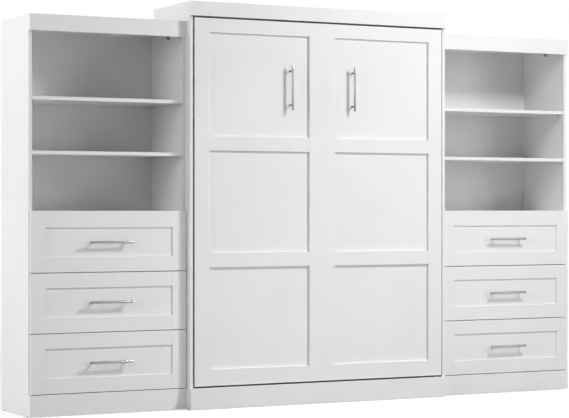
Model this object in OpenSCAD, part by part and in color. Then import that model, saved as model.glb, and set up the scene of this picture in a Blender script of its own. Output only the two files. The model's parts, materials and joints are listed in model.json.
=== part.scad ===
// Wall bed in a tall cabinet between two drawer towers, shown closed.
// Millimetres. X runs along the wall, +Y points to the wall, +Z is up.
// The origin is on the floor, in the middle of the footprint.
// Depths called d are measured from the wall plane out into the room.

/* [Boards] */
// Thickness of the cabinet boards
board_t = 19; // [16:0.5:25]
// Height of the levelling glides under the side boards
glide_h = 5; // [3:0.5:12]
// Radius of a levelling glide
glide_r = 9; // [5:0.5:9]
// Distance of the glides from the front and back edges of a side board
glide_inset = 32; // [20:1:80]
// How far the top boards lie below the upper edge of the sides
top_drop = 41; // [0:1:80]

/* [Bed cabinet] */
// Space between the bed frame and a side board, for struts and leg
gear_space = 46; // [46:1:80]
// Space between the mattress and the top board
swing_space = 58; // [58:1:90]
// Depth of the side boards
bed_side_d = 500; // [500:1:560]
// Height of the plinth board
bed_plinth_h = 114; // [80:1:114]
// Height of the cornice board
bed_cornice_h = 79; // [40:1:90]
// Height of the headboard panel's upper edge
headboard_top = 1050; // [700:10:1300]
// Height of the headboard panel's lower edge
headboard_bottom = 300; // [200:10:500]
// Distance of the headboard panel from the wall
headboard_d = 100; // [40:1:104]
// Height of the upper wall rail
wall_rail_h = 110; // [80:1:120]
// Height of the lower wall rail
floor_rail_h = 90; // [60:1:100]
// Distance between neighbouring wall screws
screw_pitch = 406.4; // [300:0.1:450]
// Radius of a wall screw hole
screw_r = 2.75; // [2:0.05:4]

/* [Bed front] */
// Thickness of the two front panels
front_t = 19; // [17:0.5:25]
// How far the front stands out of the side boards
front_proud = 7; // [2:0.5:9]
// Gap beside the front
front_side_gap = 9.5; // [4:0.5:12]
// Gap above and below the front
front_end_gap = 10; // [6:0.5:14]
// Depth of the recessed fields
front_recess = 12; // [4:0.5:13]
// Width of the outer upright of a front panel
outer_stile_w = 89; // [60:1:120]
// Width of the upright beside the middle seam
inner_stile_w = 82; // [60:1:120]
// Height of the top rail and of the two cross rails
rail_h = 78; // [50:1:110]
// Height of the bottom rail
bottom_rail_h = 89; // [50:1:120]
// Lower edge of the lower cross rail
lower_rail_z = 786; // [600:1:900]
// Lower edge of the upper cross rail
upper_rail_z = 1434; // [1100:1:1600]

/* [Pulls] */
// Length of a bar pull
pull_len = 252; // [150:1:320]
// Distance between the two posts of a pull
pull_post_gap = 192; // [96:1:256]
// Radius of the bar
pull_r = 6; // [4:0.5:8]
// Radius of a post
post_r = 5; // [3:0.5:7]
// Reach of a pull in front of the field that it is screwed to
pull_reach = 38; // [28:1:45]
// Distance of a bed pull from the middle seam
bed_pull_x = 201.5; // [150:0.5:300]
// Height of the middle of a bed pull above the upper cross rail
bed_pull_rise = 282; // [160:1:330]

/* [Towers] */
// Width of a tower
tower_w = 915; // [600:1:1100]
// Height of a tower
tower_h = 2148; // [1900:1:2230]
// Depth of the tower side boards
tower_side_d = 445; // [430:1:470]
// Height of the tower plinth
tower_plinth_h = 113; // [80:1:140]
// Height of the tower cornice
tower_cornice_h = 89; // [60:1:120]
// Thickness of the tower back
back_t = 6; // [3:0.5:12]
// Distance of the tower back from the wall
back_inset = 9; // [0:1:20]
// Height of the upper shelf's top face
upper_shelf_z = 1711; // [1600:1:1850]
// Height of the lower shelf's top face
lower_shelf_z = 1420; // [1250:1:1550]
// Radius of a shelf pin
pin_r = 2.5; // [1.5:0.5:4]
// Length of a shelf pin inside the side board
pin_seat = 12; // [8:1:14]
// Length of a shelf pin under the shelf
pin_reach = 9; // [5:1:14]
// Side of a corner block under the top board
block_w = 18; // [12:1:30]
// Height of a corner block
block_h = 28; // [15:1:40]
// Distance of a corner block from the wall
block_d = 265; // [100:1:340]

/* [Drawers] */
// Distance between the lower edges of neighbouring drawer fronts
drawer_pitch = 324; // [280:1:330]
// Height of the top drawer front
top_front_h = 329; // [280:1:360]
// Gap between two drawer fronts and above the plinth
drawer_gap = 4; // [2:0.5:6]
// Gap between a drawer front and the end of its tower
drawer_side_gap = 4; // [1:0.5:6]
// Gap behind a drawer front, where the bumpers sit
drawer_back_gap = 2; // [1:0.5:4]
// Thickness of a drawer front
drawer_front_t = 19; // [16:0.5:25]
// Depth of the recessed field of a drawer front
drawer_recess = 6; // [3:0.5:9]
// Width of the uprights of a drawer front
drawer_stile_w = 83.5; // [50:0.5:120]
// Height of the rails of a drawer front
drawer_rail_h = 80; // [50:1:95]
// Height of the uppermost rail of the top drawer front
top_drawer_rail_h = 90; // [50:1:110]
// Height of a drawer box
box_h = 200; // [120:1:215]
// Gap between a drawer box and the tower back
box_back_gap = 32; // [10:1:80]
// Thickness of a drawer box side
box_t = 12; // [10:0.5:16]
// Thickness of a drawer bottom
box_bottom_t = 9; // [6:0.5:12]
// Height of the drawer box above its front's lower edge
box_lift = 45; // [30:1:70]
// Height of a drawer runner
runner_h = 45; // [35:1:53]
// Space between a side board and the drawer box
runner_space = 13; // [12.5:0.5:16]
// Wall thickness of a runner
runner_wall = 1.5; // [1:0.1:2]

/* [Bed frame] */
// Distance of the folding axis from the wall
axis_d = 430; // [430:1:434]
// Height of the folding axis
axis_z = 255; // [255:1:259]
// Distance of the frame's sides from the mattress's sides
frame_side_gap = 1; // [0:0.5:4]
// How far the mattress reaches past each end of the frame
mattress_overhang = 7; // [3:1:12]
// Height of the frame's lower end above the floor
frame_bottom = 112; // [111:1:116]
// Flange width of the steel angle
angle_w = 40; // [30:1:42]
// Thickness of the steel angle
angle_t = 3; // [2:0.5:5]
// Width of a slat
slat_w = 70; // [50:1:90]
// Thickness of a slat
slat_t = 18; // [12:1:20]
// Number of slats
slat_count = 13; // [10:1:16]
// Thickness of the steel side plates
plate_t = 5; // [4:0.5:6]
// Radius of the folding spindle
spindle_r = 10; // [8:0.5:12]

/* [Mattress] */
// Width of the mattress
mattress_w = 1524; // [1372:1:1524]
// Length of the mattress
mattress_len = 2032; // [1905:1:2032]
// Thickness of the mattress in the middle of its crown
mattress_t = 240; // [180:1:245]
// Height of the crown on each face
mattress_crown = 9; // [4:1:16]
// Radius of the mattress edges
mattress_edge_r = 28; // [15:1:40]
// Width of a retaining strap
strap_w = 50; // [30:1:60]
// Thickness of a retaining strap
strap_t = 1.5; // [1:0.1:2.5]

/* [Folding leg] */
// Distance of the leg's axis from the frame's foot end
leg_setback = 300; // [296:1:302]
// Gap between the leg and the end of the front when the bed is down
leg_front_gap = 3; // [2:0.5:5]
// Radius of the leg tube
leg_r = 12; // [10:0.5:12]
// Centre-line radius of the leg's bends
leg_bend_r = 36; // [30:1:60]
// Radius of the leg's pivot stud
leg_stud_r = 6; // [4:0.5:7]

/* [Gas struts] */
// Radius from the folding axis to the crank stud, measured along each axis
crank_arm = 85; // [80:1:88]
// Height of the upper strut stud above the folding axis
strut_rise = 420; // [410:1:440]
// Radius of the strut cylinder
strut_r = 11; // [9:0.5:12]
// Length of the strut cylinder
strut_len = 250; // [240:1:256]
// Radius of the strut rod
rod_r = 5; // [4:0.5:6]
// Radius of the strut studs
stud_r = 5; // [4:0.5:6]

/* [Hidden] */

white = [0.93, 0.93, 0.925];
interior_white = [0.88, 0.88, 0.875];
nickel = [0.62, 0.61, 0.59];
steel = [0.70, 0.71, 0.72];
black = [0.08, 0.08, 0.085];
birch = [0.82, 0.70, 0.52];
ticking = [0.90, 0.89, 0.86];
webbing = [0.25, 0.26, 0.28];

glue_line = 0.2;      // hairline between two boards of one front or box
soft_gap = 0.3;       // air beside a soft or a moving piece
running_fit = 0.05;   // radial play of a stud in its eye
left = -1;
right = 1;
top_row = 2;
middle_row = 1;
bottom_row = 0;

// Depths of the bed cabinet, from the wall
front_face_d = bed_side_d + front_proud;
front_back_d = front_face_d - front_t;
front_field_d = front_face_d - front_recess;
total_d = max(bed_side_d + board_t, front_field_d + pull_reach);
wall_y = total_d / 2;

// Bed cabinet, built around the mattress
frame_w = mattress_w + 2 * frame_side_gap;
frame_len = mattress_len - 2 * mattress_overhang;
mattress_z = frame_bottom - mattress_overhang;
bed_in_x = frame_w / 2 + gear_space;
bed_w = 2 * (bed_in_x + board_t);
bed_top_z = mattress_z + mattress_len + swing_space;
bed_h = bed_top_z + board_t + top_drop;
plinth_top_z = glide_h + bed_plinth_h;
cornice_bottom_z = bed_h - bed_cornice_h;

// Bed front
front_half_w = bed_in_x - front_side_gap;
front_z = [plinth_top_z + front_end_gap, cornice_bottom_z - front_end_gap];
field_x = [inner_stile_w, front_half_w - outer_stile_w];
bed_pull_z = upper_rail_z + rail_h + bed_pull_rise;
rail_z = [
    [front_z[0], front_z[0] + bottom_rail_h],
    [lower_rail_z, lower_rail_z + rail_h],
    [upper_rail_z, upper_rail_z + rail_h],
    [front_z[1] - rail_h, front_z[1]]
];

// Towers
tower_front_d = tower_side_d + board_t;
board_back_d = back_inset + back_t;
tower_top_z = tower_h - top_drop - board_t;
tower_floor_z = glide_h + tower_plinth_h;
first_front_z = tower_floor_z + drawer_gap;
deck_z = first_front_z + 2 * drawer_pitch + top_front_h;
shelf_play = 1;
pin_inset = 50;           // from the front edge and from the tower back

// Drawers
drawer_back_d = tower_side_d + drawer_back_gap;
drawer_face_d = drawer_back_d + drawer_front_t;
drawer_field_d = drawer_face_d - drawer_recess;
box_len = drawer_back_d - board_back_d - box_back_gap;
bottom_groove_z = 12;
runner_lip = runner_space - runner_wall - 2;
runner_play = 0.4;
runner_foot_z = (box_h - runner_h) / 2;
runner_setback = 2;       // from the front edge of the side board
moving_setback = 12;      // from the back of the drawer front

// Bed frame, slats and mattress; the frame's webs stand on the backs of the front panels
frame_x = frame_w / 2;
frame_top = frame_bottom + frame_len;
web_extra = 4;            // the angle's web is this much wider than its flange
flange_d = front_back_d - angle_w - web_extra;
slat_d = flange_d - slat_t;
mattress_d = slat_d - soft_gap;
slat_end_gap = 8;
cross_bar_z = [frame_bottom + frame_len / 3, frame_bottom + 2 * frame_len / 3];
plate_x = [frame_x, frame_x + plate_t];
plate_rim = 24;
plate_sink = 1;           // how far a stud runs into the plate that carries it
tongue_shoulder = 12;
plate_tongue = 165;
plate_tongue_w = 36;
plate_front_gap = 2;      // air between a plate and the back of the front
plate_front_edge_d = front_back_d - plate_front_gap;
strap_anchor = 30;        // how far a strap runs along the frame's side
strap_z = [mattress_z + 0.3 * mattress_len, mattress_z + 0.72 * mattress_len];

// Steel side plates on the cabinet
cabinet_plate_t = 6;
cabinet_plate_x = bed_in_x - cabinet_plate_t;
bush_r = 18;
plate_back_d = 300;
plate_front_d = 480;
plate_below_axis = 75;
plate_above_stud = 45;
bush_gap = 2;             // between the bush and the frame's plate
stud_end_gap = 0.5;
stud_proud = 1;

// Struts stand in the middle of the space between frame plate and cabinet plate
strut_shift = 1.5;        // towards the cabinet's plate
stud_reach = 3;           // of the upper stud past its eye
strut_x = (plate_x[1] + cabinet_plate_x) / 2 + strut_shift;
eye_t = 10;
eye_r = 10;
strut_d = axis_d - crank_arm;
crank_z = axis_z - crank_arm;
strut_top_z = axis_z + strut_rise;
eye_neck = 6;
neck_r = 4;
cylinder_top_z = strut_top_z - eye_r - eye_neck;
cylinder_low_z = cylinder_top_z - strut_len;
strut_wall = 1.5;

// Folding leg; its foot bar meets the floor when the bed is down
hub_gap = 0.5;            // between the hub and the frame's plate
leg_hub_half = leg_r + 1.5;
leg_x = plate_x[1] + leg_hub_half + hub_gap;
leg_drop = axis_z - leg_r - soft_gap;
leg_hub_r = 14;
leg_plate_rim = 18;
leg_axis_z = frame_top - leg_setback;
leg_arm = front_z[1] - leg_axis_z + leg_r + leg_front_gap;

function tower_x(side) = side < 0 ? -bed_w / 2 - tower_w : bed_w / 2;
function front_low_z(row) = first_front_z + row * drawer_pitch;
function front_high_z(row) =
    row == top_row ? deck_z : front_low_z(row) + drawer_pitch - drawer_gap;
function field_high_z(row) =
    front_high_z(row) - (row == top_row ? top_drawer_rail_h : drawer_rail_h);
function field_low_z(row) = front_low_z(row) + drawer_rail_h;

// A board between two corners, with d measured from the wall
module board(x, d, z) {
    translate([x[0], wall_y - d[1], z[0]])
        cube([x[1] - x[0], d[1] - d[0], z[1] - z[0]]);
}

// Round bars along the three axes
module bar_x(x, d, z, r) {
    translate([x[0], wall_y - d, z])
        rotate([0, 90, 0]) cylinder(r = r, h = x[1] - x[0], $fn = 48);
}
module bar_d(x, d, z, r) {
    translate([x, wall_y - d[0], z])
        rotate([90, 0, 0]) cylinder(r = r, h = d[1] - d[0], $fn = 48);
}
module bar_z(x, d, z, r) {
    translate([x, wall_y - d, z[0]]) cylinder(r = r, h = z[1] - z[0], $fn = 48);
}

// A range of distances from the middle, on the left or on the right
function side_span(side, x) = side < 0 ? [-x[1], -x[0]] : x;

module both_sides() {
    children();
    mirror([1, 0, 0]) children();
}

// A flat plate in a side view: its outline is drawn with depth to the right and height up
module side_plate(x) {
    translate([x[0], wall_y, 0])
        rotate([90, 0, 90]) linear_extrude(height = x[1] - x[0])
            mirror([1, 0, 0]) children();
}

// ---- Towers ----

module tower_side(side, end) {
    x = tower_x(side) + (end > 0 ? tower_w - board_t : 0);
    inner_x = end > 0 ? [x - 1, x + pin_seat] : [x + board_t - pin_seat, x + board_t + 1];
    color(white)
        difference() {
            board([x, x + board_t], [0, tower_side_d], [glide_h, tower_h]);
            for (z = shelf_pin_heights(), d = shelf_pin_depths())
                bar_x(inner_x, d, z, pin_r + running_fit);
        }
}

function shelf_pin_heights() =
    [for (z = [upper_shelf_z, lower_shelf_z]) z - board_t - pin_r];
function shelf_pin_depths() = [board_back_d + pin_inset, tower_side_d - pin_inset];

// A board that spans a tower between its sides
module tower_span(side, d, z, play = 0) {
    x = tower_x(side);
    board([x + board_t + play, x + tower_w - board_t - play], d, z);
}

// A board that covers the front edges of a tower
module tower_face_board(side, z) {
    color(white)
        board([tower_x(side), tower_x(side) + tower_w], [tower_side_d, tower_front_d], z);
}

module tower_top(side) {
    color(white)
        tower_span(side, [board_back_d, tower_side_d], [tower_top_z, tower_top_z + board_t]);
}

module tower_cornice(side) {
    tower_face_board(side, [tower_h - tower_cornice_h, tower_h]);
}

module tower_plinth(side) {
    tower_face_board(side, [glide_h, tower_floor_z]);
}

module tower_back(side) {
    color(interior_white)
        tower_span(side, [back_inset, board_back_d],
                   [tower_floor_z - board_t, tower_top_z + board_t]);
}

module tower_shelves(side) {
    color(white)
        for (z = [upper_shelf_z, lower_shelf_z])
            tower_span(side, [board_back_d + shelf_play, tower_side_d], [z - board_t, z],
                       shelf_play);
}

module tower_deck(side) {
    color(white) tower_span(side, [board_back_d, tower_side_d], [deck_z - board_t, deck_z]);
}

module tower_bottom(side) {
    color(white)
        tower_span(side, [board_back_d, tower_side_d],
                   [tower_floor_z - board_t, tower_floor_z]);
}

// ---- Bed cabinet ----

module bed_side(side) {
    x = side > 0 ? bed_in_x : -bed_w / 2;
    color(white) board([x, x + board_t], [0, bed_side_d], [glide_h, bed_h]);
}

module bed_top() {
    color(white)
        board([-bed_in_x, bed_in_x], [0, bed_side_d], [bed_top_z, bed_top_z + board_t]);
}

module bed_cornice() {
    color(white)
        board([-bed_w / 2, bed_w / 2], [bed_side_d, bed_side_d + board_t],
              [cornice_bottom_z, bed_h]);
}

module bed_plinth() {
    color(white)
        board([-bed_w / 2, bed_w / 2], [bed_side_d, bed_side_d + board_t],
              [glide_h, plinth_top_z]);
}

module headboard() {
    color(white)
        board([-bed_in_x, bed_in_x], [headboard_d, headboard_d + board_t],
              [headboard_bottom, headboard_top]);
}

// Two rails against the wall; the upper one is screwed to it
module wall_rails() {
    screw_z = bed_top_z - wall_rail_h / 2;
    color(white) {
        difference() {
            board([-bed_in_x, bed_in_x], [0, board_t], [bed_top_z - wall_rail_h, bed_top_z]);
            for (i = [-1.5:1:1.5])
                bar_d(i * screw_pitch, [-1, board_t + 1], screw_z, screw_r);
        }
        board([-bed_in_x, bed_in_x], [0, board_t], [glide_h, glide_h + floor_rail_h]);
    }
}

// ---- Small fittings ----

module glides() {
    color(black)
        both_sides() {
            for (x = [bed_w / 2 + board_t / 2, bed_w / 2 + tower_w - board_t / 2],
                 d = [glide_inset, tower_side_d - glide_inset])
                bar_z(x, d, [0, glide_h], glide_r);
            for (d = [glide_inset, bed_side_d - glide_inset])
                bar_z(bed_w / 2 - board_t / 2, d, [0, glide_h], glide_r);
        }
}

// Pins in both sides of each tower, under both shelves
module shelf_pins() {
    x_left = bed_w / 2 + board_t;
    x_right = bed_w / 2 + tower_w - board_t;
    color(steel)
        both_sides()
            for (z = shelf_pin_heights(), d = shelf_pin_depths()) {
                bar_x([x_left - pin_seat, x_left + pin_reach], d, z, pin_r);
                bar_x([x_right - pin_reach, x_right + pin_seat], d, z, pin_r);
            }
}

// Blocks that fix each tower's top board to its sides
module corner_blocks() {
    x_left = bed_w / 2 + board_t;
    x_right = bed_w / 2 + tower_w - board_t;
    color(black)
        both_sides()
            for (x = [x_left, x_right - block_w])
                board([x, x + block_w], [block_d - block_w / 2, block_d + block_w / 2],
                      [tower_top_z - block_h, tower_top_z]);
}

// A channel with its web at x and its lips towards dir
module channel(x, dir, d, z, lip) {
    far = x + dir * lip;
    web = x + dir * runner_wall;
    board([min(x, web), max(x, web)], d, z);
    for (foot = [z[0], z[1] - runner_wall])
        board([min(x, far), max(x, far)], d, [foot, foot + runner_wall]);
}

// The fixed halves of the drawer runners, on the tower sides
module cabinet_runners() {
    color(steel)
        for (side = [left, right], row = [bottom_row, middle_row, top_row]) {
            foot = front_low_z(row) + box_lift + runner_foot_z;
            d = [tower_side_d - box_len, tower_side_d - runner_setback];
            x_left = tower_x(side) + board_t;
            x_right = tower_x(side) + tower_w - board_t;
            channel(x_left, 1, d, [foot, foot + runner_h], runner_lip);
            channel(x_right, -1, d, [foot, foot + runner_h], runner_lip);
        }
}

// ---- Drawers ----

// A frame of two uprights and two rails around a recessed field, with hairline joints
module drawer_front(side, row) {
    x = [tower_x(side) + drawer_side_gap, tower_x(side) + tower_w - drawer_side_gap];
    z = [front_low_z(row), front_high_z(row)];
    field_x = [x[0] + drawer_stile_w, x[1] - drawer_stile_w];
    inset_x = [field_x[0] + glue_line, field_x[1] - glue_line];
    d = [drawer_back_d, drawer_face_d];
    color(white) {
        board([x[0], field_x[0]], d, z);
        board([field_x[1], x[1]], d, z);
        board(inset_x, d, [z[0], field_low_z(row)]);
        board(inset_x, d, [field_high_z(row), z[1]]);
        board(inset_x, [drawer_back_d, drawer_field_d],
              [field_low_z(row) + glue_line, field_high_z(row) - glue_line]);
    }
}

// Four sides and a bottom, with the moving halves of the runners
module drawer_box(side, row) {
    outer = [tower_x(side) + board_t + runner_space,
             tower_x(side) + tower_w - board_t - runner_space];
    inner = [outer[0] + box_t + glue_line, outer[1] - box_t - glue_line];
    d = [drawer_back_d - box_len, drawer_back_d];
    foot = front_low_z(row) + box_lift;
    z = [foot, foot + box_h];
    color(birch) {
        for (x = [outer[0], outer[1] - box_t]) board([x, x + box_t], d, z);
        board(inner, [d[0], d[0] + box_t], z);
        board(inner, [d[1] - box_t, d[1]], z);
        board(inner, [d[0] + box_t + glue_line, d[1] - box_t - glue_line],
              [foot + bottom_groove_z, foot + bottom_groove_z + box_bottom_t]);
    }
    runner_z = [foot + runner_foot_z + runner_wall + runner_play,
                foot + runner_foot_z + runner_h - runner_wall - runner_play];
    runner_d = [d[0], d[1] - moving_setback];
    color(steel) {
        channel(outer[0] - glue_line, -1, runner_d, runner_z, runner_lip);
        channel(outer[1] + glue_line, 1, runner_d, runner_z, runner_lip);
    }
}

// A round bar on two posts; the bar lies along X, centred on a point of the field
module drawer_pull(side, row) {
    x = tower_x(side) + tower_w / 2;
    z = (field_low_z(row) + field_high_z(row)) / 2;
    bar_d_pos = drawer_field_d + pull_reach - pull_r;
    color(nickel) {
        bar_x([x - pull_len / 2, x + pull_len / 2], bar_d_pos, z, pull_r);
        for (s = [-1, 1])
            bar_d(x + s * pull_post_gap / 2, [drawer_field_d, bar_d_pos], z, post_r);
    }
}

// ---- Folding bed ----

// Half of the bed front: two uprights, four rails and three recessed fields
module front_panel(side) {
    mirror([side < 0 ? 1 : 0, 0, 0])
        color(white) {
            seam_x = glue_line / 2;
            d = [front_back_d, front_face_d];
            inset_x = [field_x[0] + glue_line, field_x[1] - glue_line];
            board([seam_x, field_x[0]], d, front_z);
            board([field_x[1], front_half_w], d, front_z);
            for (z = rail_z) board(inset_x, d, z);
            for (i = [0:2])
                board(inset_x, [front_back_d, front_field_d],
                      [rail_z[i][1] + glue_line, rail_z[i + 1][0] - glue_line]);
        }
}

module bed_pulls() {
    bar_d_pos = front_field_d + pull_reach - pull_r;
    color(nickel)
        both_sides() {
            bar_z(bed_pull_x, bar_d_pos,
                  [bed_pull_z - pull_len / 2, bed_pull_z + pull_len / 2], pull_r);
            for (s = [-1, 1])
                bar_d(bed_pull_x, [front_field_d, bar_d_pos],
                      bed_pull_z + s * pull_post_gap / 2, post_r);
        }
}

// Steel angle: the flange carries the slats, the web stands on the front's back
module bed_frame() {
    flange = [flange_d, flange_d + angle_t];
    web = [flange_d, front_back_d];
    color(steel)
        union() {
            both_sides() {
                board([frame_x - angle_w, frame_x], flange, [frame_bottom, frame_top]);
                board([frame_x - angle_t, frame_x], web, [frame_bottom, frame_top]);
            }
            for (end = [0, 1]) {
                z = end > 0 ? frame_top : frame_bottom;
                dir = end > 0 ? -1 : 1;
                board([-frame_x, frame_x], flange,
                      [min(z, z + dir * angle_w), max(z, z + dir * angle_w)]);
                board([-frame_x, frame_x], web,
                      [min(z, z + dir * angle_t), max(z, z + dir * angle_t)]);
            }
            for (z = cross_bar_z) {
                board([-frame_x, frame_x], flange, [z, z + angle_w]);
                board([-frame_x, frame_x], web, [z, z + angle_t]);
            }
        }
}

module slats() {
    pitch = (frame_len - slat_w - 2 * slat_end_gap) / (slat_count - 1);
    half = frame_x - slat_end_gap;
    color(birch)
        for (i = [0:slat_count - 1]) {
            z = frame_bottom + slat_end_gap + i * pitch;
            board([-half, half], [slat_d, flange_d], [z, z + slat_w]);
        }
}

// Plates on the frame's sides: the lower pair carries spindle and crank, the upper pair the leg
module frame_side_plates() {
    web = [plate_front_edge_d - plate_tongue_w, plate_front_edge_d];
    low = crank_z - plate_rim;
    color(steel)
        for (side = [left, right]) {
            outer = side_span(side, plate_x);
            side_plate(outer)
                polygon([
                    [strut_d - plate_rim, low], [web[1], low], [web[1], axis_z + plate_tongue],
                    [web[0], axis_z + plate_tongue], [web[0], axis_z + plate_rim + tongue_shoulder],
                    [axis_d - plate_rim, axis_z + plate_rim], [strut_d - plate_rim, crank_z + plate_rim]
                ]);
            board(outer, [axis_d - leg_plate_rim, web[1]],
                  [leg_axis_z - leg_plate_rim, leg_axis_z + leg_plate_rim]);
            bar_x(side_span(side, [plate_x[1] - plate_sink, bed_in_x - stud_end_gap]),
                  axis_d, axis_z, spindle_r);
            bar_x(side_span(side, [plate_x[1] - plate_sink, strut_x - eye_t / 2 - soft_gap]),
                  strut_d, crank_z, stud_r);
            bar_x(side_span(side, [plate_x[1] - plate_sink, leg_x + leg_hub_half + stud_proud]),
                  axis_d, leg_axis_z, leg_stud_r);
        }
}

// A closed pad with round edges, fuller in the middle of both faces
module mattress() {
    half = [mattress_w / 2 - mattress_edge_r, mattress_len / 2 - mattress_edge_r];
    edge_t = mattress_t - 2 * mattress_crown;
    middle_z = mattress_z + mattress_len / 2;
    middle_d = mattress_d - mattress_t / 2;
    color(ticking)
        translate([0, wall_y - middle_d, middle_z])
            hull() {
                for (x = [-1, 1], y = [-1, 1], z = [-1, 1])
                    translate([x * half[0], y * (edge_t / 2 - mattress_edge_r), z * half[1]])
                        rotate([90, 0, 0]) sphere(r = mattress_edge_r, $fn = 24);
                cube([half[0], mattress_t, half[1]], center = true);
            }
}

// Two straps across the mattress, fixed to the outside of the frame
module mattress_straps() {
    back_d = mattress_d - mattress_t - soft_gap;
    side_x = frame_x + soft_gap;
    anchor_d = flange_d + strap_anchor;
    color(webbing)
        for (z = strap_z) {
            both_sides()
                board([side_x, side_x + strap_t], [back_d - strap_t, anchor_d],
                      [z, z + strap_w]);
            board([-side_x, side_x], [back_d - strap_t, back_d], [z, z + strap_w]);
        }
}

// A bent tube: arms back from the axis, then up to a foot bar across the bed
module folding_leg() {
    back_d = axis_d - leg_arm;
    foot_z = leg_axis_z + leg_drop;
    color(steel)
        difference() {
            union() {
                for (side = [left, right]) {
                    x = side * leg_x;
                    bar_x([x - leg_hub_half, x + leg_hub_half], axis_d, leg_axis_z, leg_hub_r);
                    bar_d(x, [back_d + leg_bend_r, axis_d], leg_axis_z, leg_r);
                    translate([x, wall_y - back_d - leg_bend_r, leg_axis_z + leg_bend_r])
                        rotate([0, 90, 0]) leg_bend();
                    bar_z(x, back_d, [leg_axis_z + leg_bend_r, foot_z - leg_bend_r], leg_r);
                    translate([x - side * leg_bend_r, wall_y - back_d, foot_z - leg_bend_r])
                        rotate([90, side < 0 ? -90 : 0, 0]) leg_bend();
                }
                bar_x([leg_bend_r - leg_x, leg_x - leg_bend_r], back_d, foot_z, leg_r);
            }
            for (side = [left, right])
                bar_x([side * leg_x - 2 * leg_hub_r, side * leg_x + 2 * leg_hub_r], axis_d,
                      leg_axis_z, leg_stud_r + running_fit);
        }
}

module leg_bend() {
    rotate_extrude(angle = 90, $fn = 64)
        translate([leg_bend_r, 0]) circle(r = leg_r, $fn = 48);
}

// ---- Cabinet mechanism ----

// Steel plates inside the bed cabinet: bush for the spindle and stud for the strut
module cabinet_side_plates() {
    color(steel)
        both_sides() {
            difference() {
                union() {
                    board([cabinet_plate_x, bed_in_x], [plate_back_d, plate_front_d],
                          [axis_z - plate_below_axis, strut_top_z + plate_above_stud]);
                    bar_x([plate_x[1] + bush_gap, bed_in_x], axis_d, axis_z, bush_r);
                }
                bar_x([plate_x[1] + 1, bed_in_x + 1], axis_d, axis_z, spindle_r + running_fit);
            }
            bar_x([strut_x - eye_t / 2 - stud_reach, cabinet_plate_x], strut_d, strut_top_z, stud_r);
        }
}

// An eye around one of the two studs of a strut
module strut_eye(side, z) {
    x = side * strut_x;
    difference() {
        bar_x([x - eye_t / 2, x + eye_t / 2], strut_d, z, eye_r);
        bar_x([x - eye_t / 2 - 1, x + eye_t / 2 + 1], strut_d, z, stud_r + running_fit);
    }
}

// Tubes with an eye above and a gland below
module strut_cylinders() {
    end_t = 8;
    color(black)
        for (side = [left, right]) {
            x = side * strut_x;
            strut_eye(side, strut_top_z);
            bar_z(x, strut_d, [cylinder_top_z - 1, strut_top_z - stud_r - 2], neck_r);
            difference() {
                bar_z(x, strut_d, [cylinder_low_z, cylinder_top_z], strut_r);
                bar_z(x, strut_d, [cylinder_low_z + end_t, cylinder_top_z - end_t],
                      strut_r - strut_wall);
                bar_z(x, strut_d, [cylinder_low_z - 1, cylinder_low_z + end_t + 1],
                      rod_r + running_fit);
            }
        }
}

// Polished rod with its piston and its lower eye
module strut_rod(side) {
    piston_z = cylinder_low_z + 20;
    piston_h = 10;
    x = side * strut_x;
    color(steel) {
        strut_eye(side, crank_z);
        bar_z(x, strut_d, [crank_z + stud_r + 2, piston_z + 1], rod_r);
        bar_z(x, strut_d, [piston_z, piston_z + piston_h], strut_r - strut_wall - running_fit);
    }
}

// ---- The pieces ----

tower_side(left, 0);  // left_tower_left_side
tower_side(left, 1);  // left_tower_right_side
tower_top(left);  // left_tower_top
tower_cornice(left);  // left_tower_cornice
tower_back(left);  // left_tower_back
tower_shelves(left);  // left_tower_shelves
tower_deck(left);  // left_tower_deck
tower_bottom(left);  // left_tower_bottom
tower_plinth(left);  // left_tower_plinth

tower_side(right, 0);  // right_tower_left_side
tower_side(right, 1);  // right_tower_right_side
tower_top(right);  // right_tower_top
tower_cornice(right);  // right_tower_cornice
tower_back(right);  // right_tower_back
tower_shelves(right);  // right_tower_shelves
tower_deck(right);  // right_tower_deck
tower_bottom(right);  // right_tower_bottom
tower_plinth(right);  // right_tower_plinth

bed_side(left);  // bed_left_side
bed_side(right);  // bed_right_side
bed_top();
bed_cornice();
bed_plinth();
headboard();
wall_rails();

glides();
shelf_pins();
corner_blocks();
cabinet_runners();

drawer_front(left, top_row);  // left_top_drawer_front
drawer_box(left, top_row);  // left_top_drawer_box
drawer_pull(left, top_row);  // left_top_drawer_pull
drawer_front(left, middle_row);  // left_middle_drawer_front
drawer_box(left, middle_row);  // left_middle_drawer_box
drawer_pull(left, middle_row);  // left_middle_drawer_pull
drawer_front(left, bottom_row);  // left_bottom_drawer_front
drawer_box(left, bottom_row);  // left_bottom_drawer_box
drawer_pull(left, bottom_row);  // left_bottom_drawer_pull
drawer_front(right, top_row);  // right_top_drawer_front
drawer_box(right, top_row);  // right_top_drawer_box
drawer_pull(right, top_row);  // right_top_drawer_pull
drawer_front(right, middle_row);  // right_middle_drawer_front
drawer_box(right, middle_row);  // right_middle_drawer_box
drawer_pull(right, middle_row);  // right_middle_drawer_pull
drawer_front(right, bottom_row);  // right_bottom_drawer_front
drawer_box(right, bottom_row);  // right_bottom_drawer_box
drawer_pull(right, bottom_row);  // right_bottom_drawer_pull

front_panel(left);  // left_front
front_panel(right);  // right_front
bed_pulls();
bed_frame();
slats();
frame_side_plates();
mattress();
mattress_straps();
folding_leg();

cabinet_side_plates();
strut_cylinders();
strut_rod(left);  // left_strut_rod
strut_rod(right);  // right_strut_rod
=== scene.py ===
import json
import math

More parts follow.
